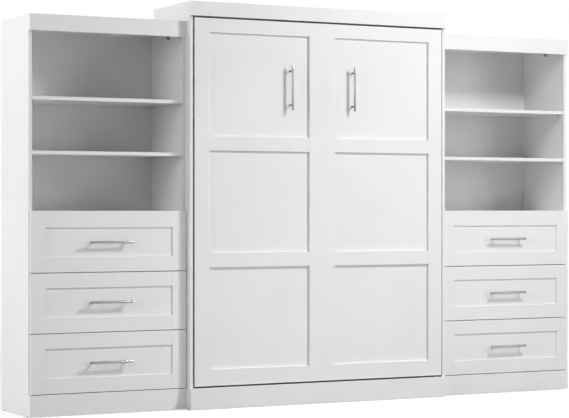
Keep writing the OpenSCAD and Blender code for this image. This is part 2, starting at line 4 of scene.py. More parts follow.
import bmesh
import bpy
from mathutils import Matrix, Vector


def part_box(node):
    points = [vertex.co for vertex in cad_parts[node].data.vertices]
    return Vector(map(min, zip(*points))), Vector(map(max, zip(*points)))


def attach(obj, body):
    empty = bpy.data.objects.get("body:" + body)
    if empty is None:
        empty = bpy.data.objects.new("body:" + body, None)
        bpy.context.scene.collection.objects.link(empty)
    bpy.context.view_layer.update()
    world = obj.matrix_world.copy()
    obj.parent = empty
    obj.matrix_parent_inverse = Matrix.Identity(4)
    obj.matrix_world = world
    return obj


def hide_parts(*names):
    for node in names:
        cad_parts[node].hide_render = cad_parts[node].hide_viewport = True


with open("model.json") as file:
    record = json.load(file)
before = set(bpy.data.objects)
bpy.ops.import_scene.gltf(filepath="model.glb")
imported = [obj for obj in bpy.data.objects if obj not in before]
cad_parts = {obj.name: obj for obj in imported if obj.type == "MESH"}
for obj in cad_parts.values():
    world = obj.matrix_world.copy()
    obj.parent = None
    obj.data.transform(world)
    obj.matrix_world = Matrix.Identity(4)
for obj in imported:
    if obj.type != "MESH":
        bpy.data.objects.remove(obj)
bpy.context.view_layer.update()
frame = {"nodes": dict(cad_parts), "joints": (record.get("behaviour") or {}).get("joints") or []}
nodes = frame["nodes"]
mm = 0.001
print("frame loaded, nodes:", len(nodes))

# small helpers for materials; a pattern's settings are its size in metres and its octaves of detail


def linearColor(hexText):
    # an sRGB hex colour as the linear RGBA that a shader takes
    parts = [int(hexText[i:i + 2], 16) / 255 for i in (1, 3, 5)]
    return [v / 12.92 if v <= 0.04045 else ((v + 0.055) / 1.055) ** 2.4 for v in parts] + [1.0]


def addNode(tree, kind, settings=None, links=None):
    # one shader node: settings are sockets or properties, links feed its inputs from a socket
    # or from another node's first output
    node = tree.nodes.new("ShaderNode" + kind)
    for key, value in (settings or {}).items():
        if isinstance(key, int) or key in node.inputs:
            node.inputs[key].default_value = value
        else:
            setattr(node, key, value)
    for key, source in (links or {}).items():
        tree.links.new(getattr(source, "outputs", [source])[0], node.inputs[key])
    return node


def newMaterial(name, settings):
    material = bpy.data.materials.new(name)
    material.use_nodes = True
    shader = material.node_tree.nodes["Principled BSDF"]
    for key, value in settings.items():
        shader.inputs[key].default_value = value
    return material, material.node_tree, shader


def patternAt(tree, size, detail, stretch=(1, 1, 1), roughness=0.5):
    # soft noise of the given size, in the part's own coordinates
    place = addNode(tree, "TexCoord").outputs["Object"]
    turned = addNode(tree, "Mapping", {"Scale": stretch}, {"Vector": place})
    return addNode(tree, "TexNoise", {"Scale": 1 / size, "Detail": detail, "Roughness": roughness},
                   {"Vector": turned}).outputs["Fac"]


def paint(tree, shader, pattern, finish, reach=(0.3, 0.7)):
    # a pattern mixes the light and the dark tone of a finish
    share = addNode(tree, "MapRange", {"From Min": reach[0], "From Max": reach[1]},
                    {"Value": pattern})
    color = addNode(tree, "MixRGB", {"Color1": linearColor(finish["light"]),
                                     "Color2": linearColor(finish["dark"])}, {"Fac": share})
    tree.links.new(color.outputs[0], shader.inputs["Base Color"])
    return color


def polish(tree, shader, pattern, gloss):
    # a pattern moves the roughness between two values
    rough = addNode(tree, "MapRange", {"From Min": 0.3, "From Max": 0.7,
                                       "To Min": gloss[0], "To Max": gloss[1]}, {"Value": pattern})
    tree.links.new(rough.outputs[0], shader.inputs["Roughness"])


def emboss(tree, shader, pattern, depth, strength=1.0):
    # a pattern as relief of a real depth in metres, on top of the relief already there
    links = {"Height": pattern}
    if shader.inputs["Normal"].is_linked:
        links["Normal"] = shader.inputs["Normal"].links[0].from_socket
    relief = addNode(tree, "Bump", {"Distance": depth, "Strength": strength}, links)
    tree.links.new(relief.outputs[0], shader.inputs["Normal"])


# finishes

lacquer = {"light": "#EDEDED", "dark": "#E9E9EA", "cloud": (350 * mm, 3), "rub": (90 * mm, 4),
           "gloss": (0.36, 0.44), "flow": (90 * mm, 1), "flowDepth": 0.05 * mm,
           "peel": (2.5 * mm, 2), "peelDepth": 0.012 * mm}


def satinLacquer():
    # satin lacquer sprayed on sanded fibreboard: even white, a soft sheen, a trace of orange peel
    material, tree, shader = newMaterial("satin lacquer on fibreboard", {"IOR": 1.46})
    paint(tree, shader, patternAt(tree, *lacquer["cloud"]), lacquer)
    polish(tree, shader, patternAt(tree, *lacquer["rub"]), lacquer["gloss"])
    emboss(tree, shader, patternAt(tree, *lacquer["flow"]), lacquer["flowDepth"])
    emboss(tree, shader, patternAt(tree, *lacquer["peel"]), lacquer["peelDepth"])
    return material


def grainedSkin(name, ior, finish):
    # a flat skin in two soft tones, whose fine grain sets both its gloss and its relief
    material, tree, shader = newMaterial(name, {"IOR": ior})
    grain = patternAt(tree, *finish["grain"])
    paint(tree, shader, patternAt(tree, *finish["cloud"]), finish)
    polish(tree, shader, grain, finish["gloss"])
    emboss(tree, shader, grain, finish["grainDepth"])
    return material


# melamine paper pressed on chipboard with a pebbled plate: flat white, faint fine texture
melamine = {"light": "#ECECEC", "dark": "#E8E8E9", "cloud": (500 * mm, 2),
            "grain": (1.2 * mm, 3), "grainDepth": 0.02 * mm, "gloss": (0.42, 0.52)}
# thin hardboard, roller painted at the mill: a duller, slightly greyer white with a fine stipple;
# the greyer white is partly the real duller paint and partly painted shade for the backs deep in
# the tower bays
hardboard = {"light": "#E2E2E2", "dark": "#DCDCDC", "cloud": (250 * mm, 3),
             "grain": (3 * mm, 3), "grainDepth": 0.03 * mm, "gloss": (0.5, 0.62)}
# grey powder coat baked on steel: even grey with a fine pebbled skin
powder = {"light": "#989B9E", "dark": "#8B8E92", "cloud": (80 * mm, 3),
          "grain": (1.4 * mm, 2), "grainDepth": 0.05 * mm, "gloss": (0.42, 0.55)}
# polypropylene from a spark-eroded mould: matt, with a fine even grain
plastic = {"light": "#242425", "dark": "#1B1B1C", "cloud": (20 * mm, 3),
           "grain": (0.9 * mm, 2), "grainDepth": 0.03 * mm, "gloss": (0.42, 0.58)}
greyPlastic = dict(plastic, light="#929293", dark="#868687")

nickel = {"light": "#9C9A98", "dark": "#777674", "line": 0.35 * mm, "lineLength": 25 * mm,
          "coarser": 3, "detail": 3, "broken": 0.7, "lineDepth": 0.006 * mm, "gloss": (0.22, 0.36)}


def brushedNickel(name, along):
    # nickel plated bar, brushed along its length: warm grey metal with fine streaks
    material, tree, shader = newMaterial(name, {"Metallic": 1.0, "Anisotropic": 0.4})
    stretch = [1, 1, 1]
    stretch[along] = nickel["line"] / nickel["lineLength"]
    lines = patternAt(tree, nickel["line"] * nickel["coarser"], nickel["detail"], stretch,
                      nickel["broken"])  # drawn three times as coarse as brushed, to show
    paint(tree, shader, lines, nickel)
    polish(tree, shader, lines, nickel["gloss"])
    emboss(tree, shader, lines, nickel["lineDepth"])
    return material


zinc = {"light": "#C9CCCF", "dark": "#A9ADB0", "spot": (9 * mm, 3), "warm": "#C6C2B2",
        "warmCloud": (45 * mm, 2), "warmShare": 0.5, "roll": (0.6 * mm, 2), "rollRun": (1, 1, 0.04),
        "rollDepth": 0.008 * mm, "gloss": (0.28, 0.46)}


def brightZinc():
    # pressed steel with bright zinc plating: cool grey, cloudy, with small rolling marks
    material, tree, shader = newMaterial("bright zinc plated steel", {"Metallic": 1.0})
    cool = paint(tree, shader, patternAt(tree, *zinc["spot"]), zinc)
    share = addNode(tree, "MapRange", {"From Min": 0.3, "From Max": 0.7,
                                       "To Max": zinc["warmShare"]},
                    {"Value": patternAt(tree, *zinc["warmCloud"])})
    tint = addNode(tree, "MixRGB", {"Color2": linearColor(zinc["warm"])},
                   {"Fac": share, "Color1": cool})
    tree.links.new(tint.outputs[0], shader.inputs["Base Color"])
    rolled = patternAt(tree, *zinc["roll"], zinc["rollRun"])
    polish(tree, shader, rolled, zinc["gloss"])
    emboss(tree, shader, rolled, zinc["rollDepth"])
    return material


enamel = {"light": "#161617", "dark": "#2B2B2C", "dust": (14 * mm, 5), "dustReach": (0.45, 0.8),
          "gloss": (0.18, 0.38), "dip": (5 * mm, 1), "dipDepth": 0.01 * mm}


def blackEnamel():
    # black enamel dipped on drawn tube: deep black, glossy, with a little dust
    material, tree, shader = newMaterial("black enamel on drawn tube", {"IOR": 1.52})
    dust = patternAt(tree, *enamel["dust"])
    paint(tree, shader, dust, enamel, enamel["dustReach"])
    polish(tree, shader, dust, enamel["gloss"])
    emboss(tree, shader, patternAt(tree, *enamel["dip"]), enamel["dipDepth"])
    return material


chrome = {"light": "#DCDEE0", "dark": "#CBCDD0", "ring": (0.8 * mm, 2), "ringRun": (0.05, 0.05, 1),
          "ringDepth": 0.002 * mm, "gloss": (0.06, 0.16)}


def groundChrome():
    # piston rod, ground and hard chromed: near mirror with very fine rings from the grinding
    material, tree, shader = newMaterial("ground chromed rod", {"Metallic": 1.0})
    rings = patternAt(tree, *chrome["ring"], chrome["ringRun"])
    paint(tree, shader, rings, chrome)
    polish(tree, shader, rings, chrome["gloss"])
    emboss(tree, shader, rings, chrome["ringDepth"])
    return material


birch = {"light": "#E3CDA4", "mid": "#D4B988", "dark": "#B99866", "veneerWidth": 55 * mm,
         "figureLength": 600 * mm, "flow": 1.2, "figureDetail": 5, "bandStep": 0.09,
         "pore": 0.7 * mm, "poreDetail": 2, "poreRun": 0.04, "poreReach": (0.55, 0.75),
         "poreShare": 0.35, "poreDepth": 0.02 * mm, "ply": 1.4 * mm, "plyReach": (0.3, 0.7),
         "gloss": (0.38, 0.55)}


def birchPly():
    # birch plywood under clear lacquer: pale flowing veneer, and light and dark plies on its edges
    material, tree, shader = newMaterial(
        "birch plywood", {"IOR": 1.46, "Coat Weight": 0.15, "Coat Roughness": 0.25})
    board = addNode(tree, "Attribute", {"attribute_name": "boardPlace"}).outputs["Vector"]
    along, across, onEdge = addNode(tree, "SeparateXYZ", None, {"Vector": board}).outputs
    flat = addNode(tree, "CombineXYZ", None, {"X": along, "Y": across})
    light, mid, dark = (linearColor(birch[tone]) for tone in ("light", "mid", "dark"))
    turned = addNode(tree, "Mapping",
                     {"Scale": (birch["veneerWidth"] / birch["figureLength"], 1, 1)},
                     {"Vector": flat})
    figure = addNode(tree, "TexNoise", {"Scale": 1 / birch["veneerWidth"],
                                        "Detail": birch["figureDetail"],
                                        "Distortion": birch["flow"]}, {"Vector": turned})
    bands = addNode(tree, "Math", {"operation": "PINGPONG", 1: birch["bandStep"]},
                    {0: figure.outputs["Fac"]})
    share = addNode(tree, "MapRange", {"From Max": birch["bandStep"]}, {"Value": bands})
    face = addNode(tree, "MixRGB", {"Color1": light, "Color2": mid}, {"Fac": share})
    fine = addNode(tree, "Mapping", {"Scale": (birch["poreRun"], 1, 1)}, {"Vector": flat})
    pores = addNode(tree, "TexNoise", {"Scale": 1 / birch["pore"], "Detail": birch["poreDetail"]},
                    {"Vector": fine}).outputs["Fac"]
    low, high = birch["poreReach"]
    share = addNode(tree, "MapRange", {"From Min": low, "From Max": high,
                                       "To Max": birch["poreShare"]}, {"Value": pores})
    face = addNode(tree, "MixRGB", {"Color2": dark}, {"Fac": share, "Color1": face})
    layer = addNode(tree, "Math", {"operation": "PINGPONG", 1: birch["ply"]}, {0: across})
    low, high = (birch["ply"] * part for part in birch["plyReach"])
    share = addNode(tree, "MapRange", {"From Min": low, "From Max": high}, {"Value": layer})
    edge = addNode(tree, "MixRGB", {"Color1": light, "Color2": dark}, {"Fac": share})
    color = addNode(tree, "MixRGB", None, {"Fac": onEdge, "Color1": face, "Color2": edge})
    tree.links.new(color.outputs[0], shader.inputs["Base Color"])
    polish(tree, shader, pores, birch["gloss"])
    emboss(tree, shader, pores, birch["poreDepth"])
    return material


def bandScale(pitch, radians=20):
    # the wave node's scale for bands pitch metres apart: at scale 1 it runs through 20 radians
    # a metre, or 10 on a diagonal
    return 2 * math.pi / (radians * pitch)


ticking = {"light": "#E9E6DF", "dark": "#D5D1C8", "loop": 1.3823 * mm, "loopDepth": 0.25 * mm,
           "loopPress": 0.7, "loopReach": 0.6, "paintedLoopShade": 0.4, "wander": 0.5, "sprig": 42 * mm,
           "sprigDepth": 0.3 * mm, "sprigPress": 0.6, "sprigReach": (0.24, 0.34),
           "sprigSpread": 0.35, "sprigShade": 0.45}


def knittedTicking():
    # knitted ticking over foam: soft white loops, slightly creamy, with a damask ground, and
    # painted shade in the hollows between the loops
    material, tree, shader = newMaterial(
        "knitted mattress ticking",
        {"Roughness": 0.85, "Sheen Weight": 0.25, "Sheen Roughness": 0.5})
    place = addNode(tree, "TexCoord").outputs["Object"]
    rows, lines = (
        addNode(tree, "TexWave", {"wave_type": "BANDS", "bands_direction": way,
                                  "Scale": bandScale(ticking["loop"]),
                                  "Distortion": ticking["wander"]},
                {"Vector": place}).outputs["Fac"] for way in ("X", "Z"))
    loops = addNode(tree, "Math", {"operation": "MULTIPLY"}, {0: rows, 1: lines})
    ground = addNode(tree, "TexVoronoi", {"Scale": 1 / ticking["sprig"],
                                          "Randomness": ticking["sprigSpread"]},
                     {"Vector": place}).outputs["Distance"]
    near, far = ticking["sprigReach"]
    sprigs = addNode(tree, "MapRange", {"From Min": near, "From Max": far,
                                        "To Min": 1, "To Max": 0}, {"Value": ground})
    shade = addNode(tree, "Math", {"operation": "MULTIPLY", 1: ticking["sprigShade"]}, {0: sprigs})
    # painted shade: the hollows between the loops are darkened where the loops' relief is low
    hollow = addNode(tree, "MapRange", {"From Max": ticking["loopReach"],
                                        "To Min": ticking["paintedLoopShade"], "To Max": 0},
                     {"Value": loops})
    shade = addNode(tree, "Math", {"operation": "ADD"}, {0: shade, 1: hollow})
    color = addNode(tree, "MixRGB", {"Color1": linearColor(ticking["light"]),
                                     "Color2": linearColor(ticking["dark"])}, {"Fac": shade})
    tree.links.new(color.outputs[0], shader.inputs["Base Color"])
    emboss(tree, shader, sprigs, ticking["sprigDepth"], ticking["sprigPress"])
    emboss(tree, shader, loops, ticking["loopDepth"], ticking["loopPress"])
    return material


webbing = {"light": "#4A4C52", "dark": "#2E3035", "rib": 7.2382 * mm, "wander": 0.4,
           "ribDepth": 0.3 * mm}  # real ribs lie 1.8 mm apart; drawn four times as coarse, to show


def wovenWebbing():
    # polyester webbing, woven with ribs across its width: dark grey with a dull shine, and painted
    # shade in the grooves between the ribs
    material, tree, shader = newMaterial("woven polyester webbing",
                                         {"Roughness": 0.7, "Sheen Weight": 0.2})
    place = addNode(tree, "TexCoord").outputs["Object"]
    ribs = addNode(tree, "TexWave", {"wave_type": "BANDS", "bands_direction": "DIAGONAL",
                                     "Scale": bandScale(webbing["rib"], 10),
                                     "Distortion": webbing["wander"]},
                   {"Vector": place}).outputs["Fac"]
    # painted shade: the colour follows the ribs' relief, darker in the grooves where the relief is
    # low
    color = addNode(tree, "MixRGB", {"Color1": linearColor(webbing["dark"]),
                                     "Color2": linearColor(webbing["light"])}, {"Fac": ribs})
    tree.links.new(color.outputs[0], shader.inputs["Base Color"])
    emboss(tree, shader, ribs, webbing["ribDepth"])
    return material


bumper = {"light": "#E6E5DF", "dark": "#DAD9D2", "haze": (4 * mm, 2), "gloss": (0.22, 0.34),
          "radius": 4 * mm, "rise": 1.8 * mm, "sideInset": 8 * mm, "endInset": 14 * mm}


def castBumper():
    # small cast polyurethane dome: milky, soft-edged, a little glossy
    material, tree, shader = newMaterial("cast polyurethane",
                                         {"IOR": 1.5, "Transmission Weight": 0.35})
    haze = patternAt(tree, *bumper["haze"])
    paint(tree, shader, haze, bumper)
    polish(tree, shader, haze, bumper["gloss"])
    return material


finishes = {"lacquer": satinLacquer(),
            "melamine": grainedSkin("pressed melamine", 1.5, melamine),
            "hardboard": grainedSkin("roller painted hardboard", 1.48, hardboard),
            "powder": grainedSkin("grey powder coat", 1.5, powder),
            "plastic": grainedSkin("moulded black polypropylene", 1.49, plastic),
            "greyPlastic": grainedSkin("moulded grey polypropylene", 1.49, greyPlastic),
            "nickelAcross": brushedNickel("nickel brushed across", 0),
            "nickelUpright": brushedNickel("nickel brushed upright", 2),
            "zinc": brightZinc(), "enamel": blackEnamel(), "chrome": groundChrome(),
            "birch": birchPly(), "ticking": knittedTicking(), "webbing": wovenWebbing(),
            "bumper": castBumper()}
print("finishes made:", len(finishes))

# small helpers for shapes


def addBoard(mesh, first, last, edge, segments=2):
    # a board between two corners with eased edges; its grain runs along its longest side
    low, high = Vector(map(min, first, last)), Vector(map(max, first, last))
    known = len(mesh.faces)
    made = bmesh.ops.create_cube(mesh, size=1.0)["verts"]
    size = high - low
    for vert in made:
        vert.co = Vector(low[i] + (vert.co[i] + 0.5) * size[i] for i in range(3))
    edges = list(dict.fromkeys(e for vert in made for e in vert.link_edges))
    bmesh.ops.bevel(mesh, geom=edges, offset=edge, segments=segments, profile=0.5, affect="EDGES")
    layer = mesh.loops.layers.float_vector.get("boardPlace")
    if layer is None:
        return
    long, wide, thick = sorted(range(3), key=lambda i: -size[i])
    for face in list(mesh.faces)[known:]:
        face.normal_update()
        onEdge = abs(face.normal[thick]) < 0.5
        for loop in face.loops:
            co = loop.vert.co
            along = co[long] + 3.1 * low[thick] + 1.7 * low[wide]  # no two boards share a figure
            across = co[thick] - low[thick] if onEdge else co[wide] + 0.37 * low[thick]
            loop[layer] = (along, across, 1.0 if onEdge else 0.0)


def addSkin(mesh, rings, capped=True):
    # faces between neighbouring rings of points, and a cap on each end
    for lower, upper in zip(rings, rings[1:]):
        for i in range(len(lower)):
            j = (i + 1) % len(lower)
            mesh.faces.new((lower[i], lower[j], upper[j], upper[i]))
    if capped:
        mesh.faces.new(list(reversed(rings[0])))
        mesh.faces.new(rings[-1])


def addLathe(mesh, profile, center, axis, segments=32, hollow=False):
    # a turned shape: profile holds (place along the axis, radius) from one end to the other,
    # or all the way round the section of a hollow one
    turn = Vector((0, 0, 1)).rotation_difference(Vector(axis)).to_matrix()
    rings = []
    for along, radius in profile:
        ring = []
        for i in range(segments):
            angle = 2 * math.pi * i / segments
            point = Vector((radius * math.cos(angle), radius * math.sin(angle), along))
            ring.append(mesh.verts.new(Vector(center) + turn @ point))
        rings.append(ring)
    addSkin(mesh, rings + rings[:1] if hollow else rings, not hollow)


def addHoop(mesh, points, radius, segments=10):
    # a tube along points and back to the first, with its rings kept square to the path
    rings = []
    normal = None
    for i, point in enumerate(points):
        run = (points[(i + 1) % len(points)] - points[i - 1]).normalized()
        if normal is None:
            normal = run.orthogonal().normalized()
        normal = (normal - run * normal.dot(run)).normalized()
        side = run.cross(normal)
        angles = [2 * math.pi * k / segments for k in range(segments)]
        rings.append([mesh.verts.new(point + radius * (math.cos(a) * normal + math.sin(a) * side))
                      for a in angles])
    first, last = rings[0], rings[-1]
    start = min(range(segments), key=lambda k: (first[k].co - last[0].co).length)
    rings.append(first[start:] + first[:start])
    addSkin(mesh, rings, False)


def addScrew(mesh, place, axis, radius, rise):
    # a domed screw head with a star-shaped recess drawn as a small socket
    socket = 0.42 * radius
    addLathe(mesh, [(-0.2 * mm, radius), (0.25 * rise, radius), (0.7 * rise, 0.86 * radius),
                    (rise, 0.55 * radius), (rise, socket), (0.35 * rise, 0.9 * socket)],
             place, axis, 20)


def finishPiece(mesh, name, finish, body, stands=(), smooth=35):
    # one piece: its finish, the body it rides on and the nodes it stands for
    bmesh.ops.recalc_face_normals(mesh, faces=mesh.faces)
    data = bpy.data.meshes.new(name)
    mesh.to_mesh(data)
    mesh.free()
    data.shade_smooth()
    data.set_sharp_from_angle(angle=math.radians(smooth))
    data.materials.append(finishes[finish])
    piece = bpy.data.objects.new(name, data)
    bpy.context.scene.collection.objects.link(piece)
    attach(piece, body)
    if stands:
        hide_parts(*stands)


sides = ("left", "right")
drawers = [side + "_" + row + "_drawer" for side in sides for row in ("top", "middle", "bottom")]

# boards and plates keep their CAD shape and get eased edges; the ground rods stay as they are,
# because they run in the cylinders with 0.05 mm to spare
eased = {"lacquer": 0.35 * mm, "melamine": 0.7 * mm, "hardboard": 0.4 * mm, "zinc": 0.5 * mm,
         "powder": 0.6 * mm, "enamel": 0.4 * mm}
towerBoards = ("left_side", "right_side", "top", "shelves", "deck", "bottom")
dressed = {
    "lacquer": ["bed_cornice", "bed_plinth", "left_front", "right_front"]
    + [side + "_tower_" + board for side in sides for board in ("cornice", "plinth")]
    + [body + "_front" for body in drawers],
    "melamine": ["bed_left_side", "bed_right_side", "bed_top", "headboard", "wall_rails"]
    + [side + "_tower_" + board for side in sides for board in towerBoards],
    "hardboard": [side + "_tower_back" for side in sides],
    "zinc": ["cabinet_runners", "shelf_pins", "cabinet_side_plates", "frame_side_plates"],
    "powder": ["bed_frame", "folding_leg"],
    "enamel": ["strut_cylinders"],
    "chrome": [side + "_strut_rod" for side in sides]}


def easeEdges(node, width):
    # a small round on each sharp edge, with the flat faces still shaded flat
    welded = node.modifiers.new("weld", "WELD")
    welded.merge_threshold = 0.01 * mm
    bevel = node.modifiers.new("eased edges", "BEVEL")
    bevel.width = width
    bevel.segments = 2
    bevel.limit_method = "ANGLE"
    bevel.angle_limit = math.radians(50)
    bevel.use_clamp_overlap = True
    normals = node.modifiers.new("flat faces", "WEIGHTED_NORMAL")
    normals.keep_sharp = True


for finish, names in dressed.items():
    for name in names:
        nodes[name].data.materials.clear()
        nodes[name].data.materials.append(finishes[finish])
        if finish in eased:
            easeEdges(nodes[name], eased[finish])
print("boards and plates dressed")

barPull = {"radius": 6 * mm, "postRadius": 5 * mm, "postGap": 192 * mm, "chamfer": 1.2 * mm,
           "collarRadius": 6.2 * mm, "collarHeight": 1.6 * mm, "collarEase": 0.2 * mm}


def addPull(mesh, low, high):
    # the bar lies along the longest side of its CAD box; the posts run back to the field
    size = high - low
    along = 0 if size[0] > size[2] else 2
    run = Vector((1, 0, 0)) if along == 0 else Vector((0, 0, 1))
    radius, cut, post = barPull["radius"], barPull["chamfer"], barPull["postRadius"]
    barY = low[1] + radius
    bar = Vector(((low[0] + high[0]) / 2, barY, (low[2] + high[2]) / 2))
    half = size[along] / 2
    end = [(half - cut, radius), (half - 0.35 * cut, radius - 0.25 * cut), (half, radius - cut)]
    addLathe(mesh, [(-x, r) for x, r in reversed(end)] + end, bar, run, 40)
    collar, height = barPull["collarRadius"], barPull["collarHeight"]
    for way in (-1, 1):
        foot = bar + run * way * barPull["postGap"] / 2
        foot[1] = high[1]
        addLathe(mesh, [(0, collar), (0.6 * height, collar), (height, post + barPull["collarEase"]),
                        (1.5 * height, post), (high[1] - barY, post)], foot, (0, -1, 0), 28)


for body in drawers:
    mesh = bmesh.new()
    addPull(mesh, *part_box(body + "_pull"))
    finishPiece(mesh, body + "_bar", "nickelAcross", body, [body + "_pull"])
low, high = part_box("bed_pulls")
pullWidth = 2 * barPull["radius"]
mesh = bmesh.new()
addPull(mesh, low, Vector((low[0] + pullWidth, high[1], high[2])))
addPull(mesh, Vector((high[0] - pullWidth, low[1], low[2])), high)
finishPiece(mesh, "bed_bars", "nickelUpright", "bed", ["bed_pulls"])
print("pulls made")

drawerBox = {"runnerReach": 9.7 * mm, "side": 12 * mm, "bottom": 9 * mm, "bottomLift": 12 * mm,
             "seam": 0.2 * mm, "edge": 0.8 * mm, "bottomEdge": 0.3 * mm}
runner = {"height": 45 * mm, "wall": 1.5 * mm, "play": 0.4 * mm, "lip": 9.5 * mm, "edge": 0.3 * mm,
          "frontGap": 12 * mm, "screwRadius": 3.2 * mm, "screwRise": 1.4 * mm, "screws": 4}
pullScrew = {"radius": 4.2 * mm, "rise": 2.4 * mm}
frontScrew = {"radius": 3.6 * mm, "rise": 1.8 * mm, "fromMiddle": 330 * mm, "fromFoot": 40 * mm,
              "fromTop": 30 * mm}


def addChannel(mesh, x, way, low, high):
    # the moving half of a runner: a web on the box side between two lips
    wall, lip, edge = runner["wall"], runner["lip"], runner["edge"]
    addBoard(mesh, (x, low[1], low[2]), (x + way * wall, high[1], high[2]), edge)
    for z in (low[2], high[2] - wall):
        addBoard(mesh, (x, low[1], z), (x + way * lip, high[1], z + wall), edge)


def makeDrawerBox(body):
    (x0, y0, z0), (x1, y1, z1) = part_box(body + "_box")
    reach, side, seam, edge = (drawerBox[k] for k in ("runnerReach", "side", "seam", "edge"))
    x0, x1 = x0 + reach, x1 - reach
    mesh = bmesh.new()
    mesh.loops.layers.float_vector.new("boardPlace")
    for x in (x0, x1 - side):
        addBoard(mesh, (x, y0, z0), (x + side, y1, z1), edge)
    inner0, inner1 = x0 + side + seam, x1 - side - seam
    for y in (y0, y1 - side):
        addBoard(mesh, (inner0, y, z0), (inner1, y + side, z1), edge)
    bottom = z0 + drawerBox["bottomLift"]
    addBoard(mesh, (inner0, y0 + side + seam, bottom),
             (inner1, y1 - side - seam, bottom + drawerBox["bottom"]), drawerBox["bottomEdge"])
    finishPiece(mesh, body + "_ply_box", "birch", body, [body + "_box"])

    mesh = bmesh.new()
    nested = runner["wall"] + runner["play"]  # the moving half lies inside the fixed one
    foot = (z0 + z1 - runner["height"]) / 2 + nested
    top = foot + runner["height"] - 2 * nested
    front = y0 + runner["frontGap"]
    for x, way in ((x0 - seam, -1), (x1 + seam, 1)):
        addChannel(mesh, x, way, (x, front, foot), (x, y1, top))
        for i in range(runner["screws"]):
            y = front + (i + 0.5) * (y1 - front) / runner["screws"]
            addScrew(mesh, (x + way * runner["wall"], y, (foot + top) / 2), (way, 0, 0),
                     runner["screwRadius"], runner["screwRise"])
    finishPiece(mesh, body + "_runners", "zinc", body, ())


def addBumpers(body):
    # four domes on the back of the drawer front, where it meets the tower's side boards
    low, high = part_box(body + "_front")
    radius, rise = bumper["radius"], bumper["rise"]
    mesh = bmesh.new()
    for x in (low[0] + bumper["sideInset"], high[0] - bumper["sideInset"]):
        for z in (low[2] + bumper["endInset"], high[2] - bumper["endInset"]):
            addLathe(mesh, [(0, radius), (0.35 * rise, radius), (0.75 * rise, 0.82 * radius),
                            (rise, 0.5 * radius)], (x, high[1], z), (0, 1, 0), 24)
    finishPiece(mesh, body + "_bumpers", "bumper", body)


def addBoxScrews(body):
    # inside the box front: two screws for the pull and four that hold the drawer front
    low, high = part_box(body + "_box")
    pullLow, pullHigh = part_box(body + "_pull")
    y = low[1] + drawerBox["side"]
    middle = (low[0] + high[0]) / 2
    pullZ = (pullLow[2] + pullHigh[2]) / 2
    mesh = bmesh.new()
    for way in (-1, 1):
        addScrew(mesh, (middle + way * barPull["postGap"] / 2, y, pullZ), (0, 1, 0),
                 pullScrew["radius"], pullScrew["rise"])
        for z in (low[2] + frontScrew["fromFoot"], high[2] - frontScrew["fromTop"]):
            addScrew(mesh, (middle + way * frontScrew["fromMiddle"], y, z), (0, 1, 0),
                     frontScrew["radius"], frontScrew["rise"])
    finishPiece(mesh, body + "_box_screws", "zinc", body, ())


for body in drawers:
    makeDrawerBox(body)
    addBumpers(body)
    addBoxScrews(body)
print("drawer boxes made")

cornerBlock = {"width": 18 * mm, "foot": 9 * mm, "slant": 13 * mm, "edge": 1.2 * mm,
               "screwRadius": 3.2 * mm, "screwRise": 1.4 * mm}


def addCornerBlock(mesh, x, way, low, high):
    # full width under the top board, cut back on a slant below; way points in from the side board
    width, foot = cornerBlock["width"], cornerBlock["foot"]
    outline = [(0, low[2]), (foot, low[2]), (width, low[2] + cornerBlock["slant"]),
               (width, high[2]), (0, high[2])]
    known = len(mesh.faces)
    addSkin(mesh, [[mesh.verts.new((x + way * across, y, z)) for across, z in outline]
                   for y in (low[1], high[1])])
    faces = list(mesh.faces)[known:]
    bmesh.ops.recalc_face_normals(mesh, faces=faces)
    edges = list(dict.fromkeys(edge for face in faces for edge in face.edges))
    bmesh.ops.bevel(mesh, geom=edges, offset=cornerBlock["edge"], segments=3, profile=0.5,
                    affect="EDGES")
    for place, axis in (((x + way * foot / 2, (low[1] + high[1]) / 2, low[2]), (0, 0, -1)),
                        ((x + way * width / 2, low[1], high[2] - width / 2), (0, -1, 0))):
        addScrew(mesh, place, axis, cornerBlock["screwRadius"], cornerBlock["screwRise"])


mesh = bmesh.new()
low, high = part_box("corner_blocks")
for side in sides:
    topLow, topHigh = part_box(side + "_tower_top")
    addCornerBlock(mesh, topLow[0], 1, low, high)
    addCornerBlock(mesh, topHigh[0], -1, low, high)
finishPiece(mesh, "moulded_corner_blocks", "greyPlastic", "cabinet", ["corner_blocks"])

glide = {"radius": 9 * mm, "height": 5 * mm, "inset": 32 * mm, "round": 1.2 * mm, "topEase": 1 * mm}
radius, soft, height = glide["radius"], glide["round"], glide["height"]
glideProfile = [(0, radius - soft), (0.4 * soft, radius - 0.3 * soft), (soft, radius),
                (height - glide["topEase"], radius), (height, 0.8 * radius)]
mesh = bmesh.new()
for part in ("bed", "left_tower", "right_tower"):
    for side in sides:
        low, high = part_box(part + "_" + side + "_side")
        for y in (low[1] + glide["inset"], high[1] - glide["inset"]):
            addLathe(mesh, glideProfile, ((low[0] + high[0]) / 2, y, 0), (0, 0, 1), 28)
finishPiece(mesh, "moulded_glides", "plastic", "cabinet", ["glides"])
print("cabinet fittings made")

slat = {"count": 13, "width": 70 * mm, "edge": 4 * mm}
low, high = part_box("slats")
slatPitch = (high[2] - low[2] - slat["width"]) / (slat["count"] - 1)
mesh = bmesh.new()
mesh.loops.layers.float_vector.new("boardPlace")
for i in range(slat["count"]):
    z = low[2] + i * slatPitch
    addBoard(mesh, (low[0], low[1], z), (high[0], high[1], z + slat["width"]), slat["edge"], 3)
finishPiece(mesh, "birch_slats", "birch", "bed", ["slats"])
print("slats made")

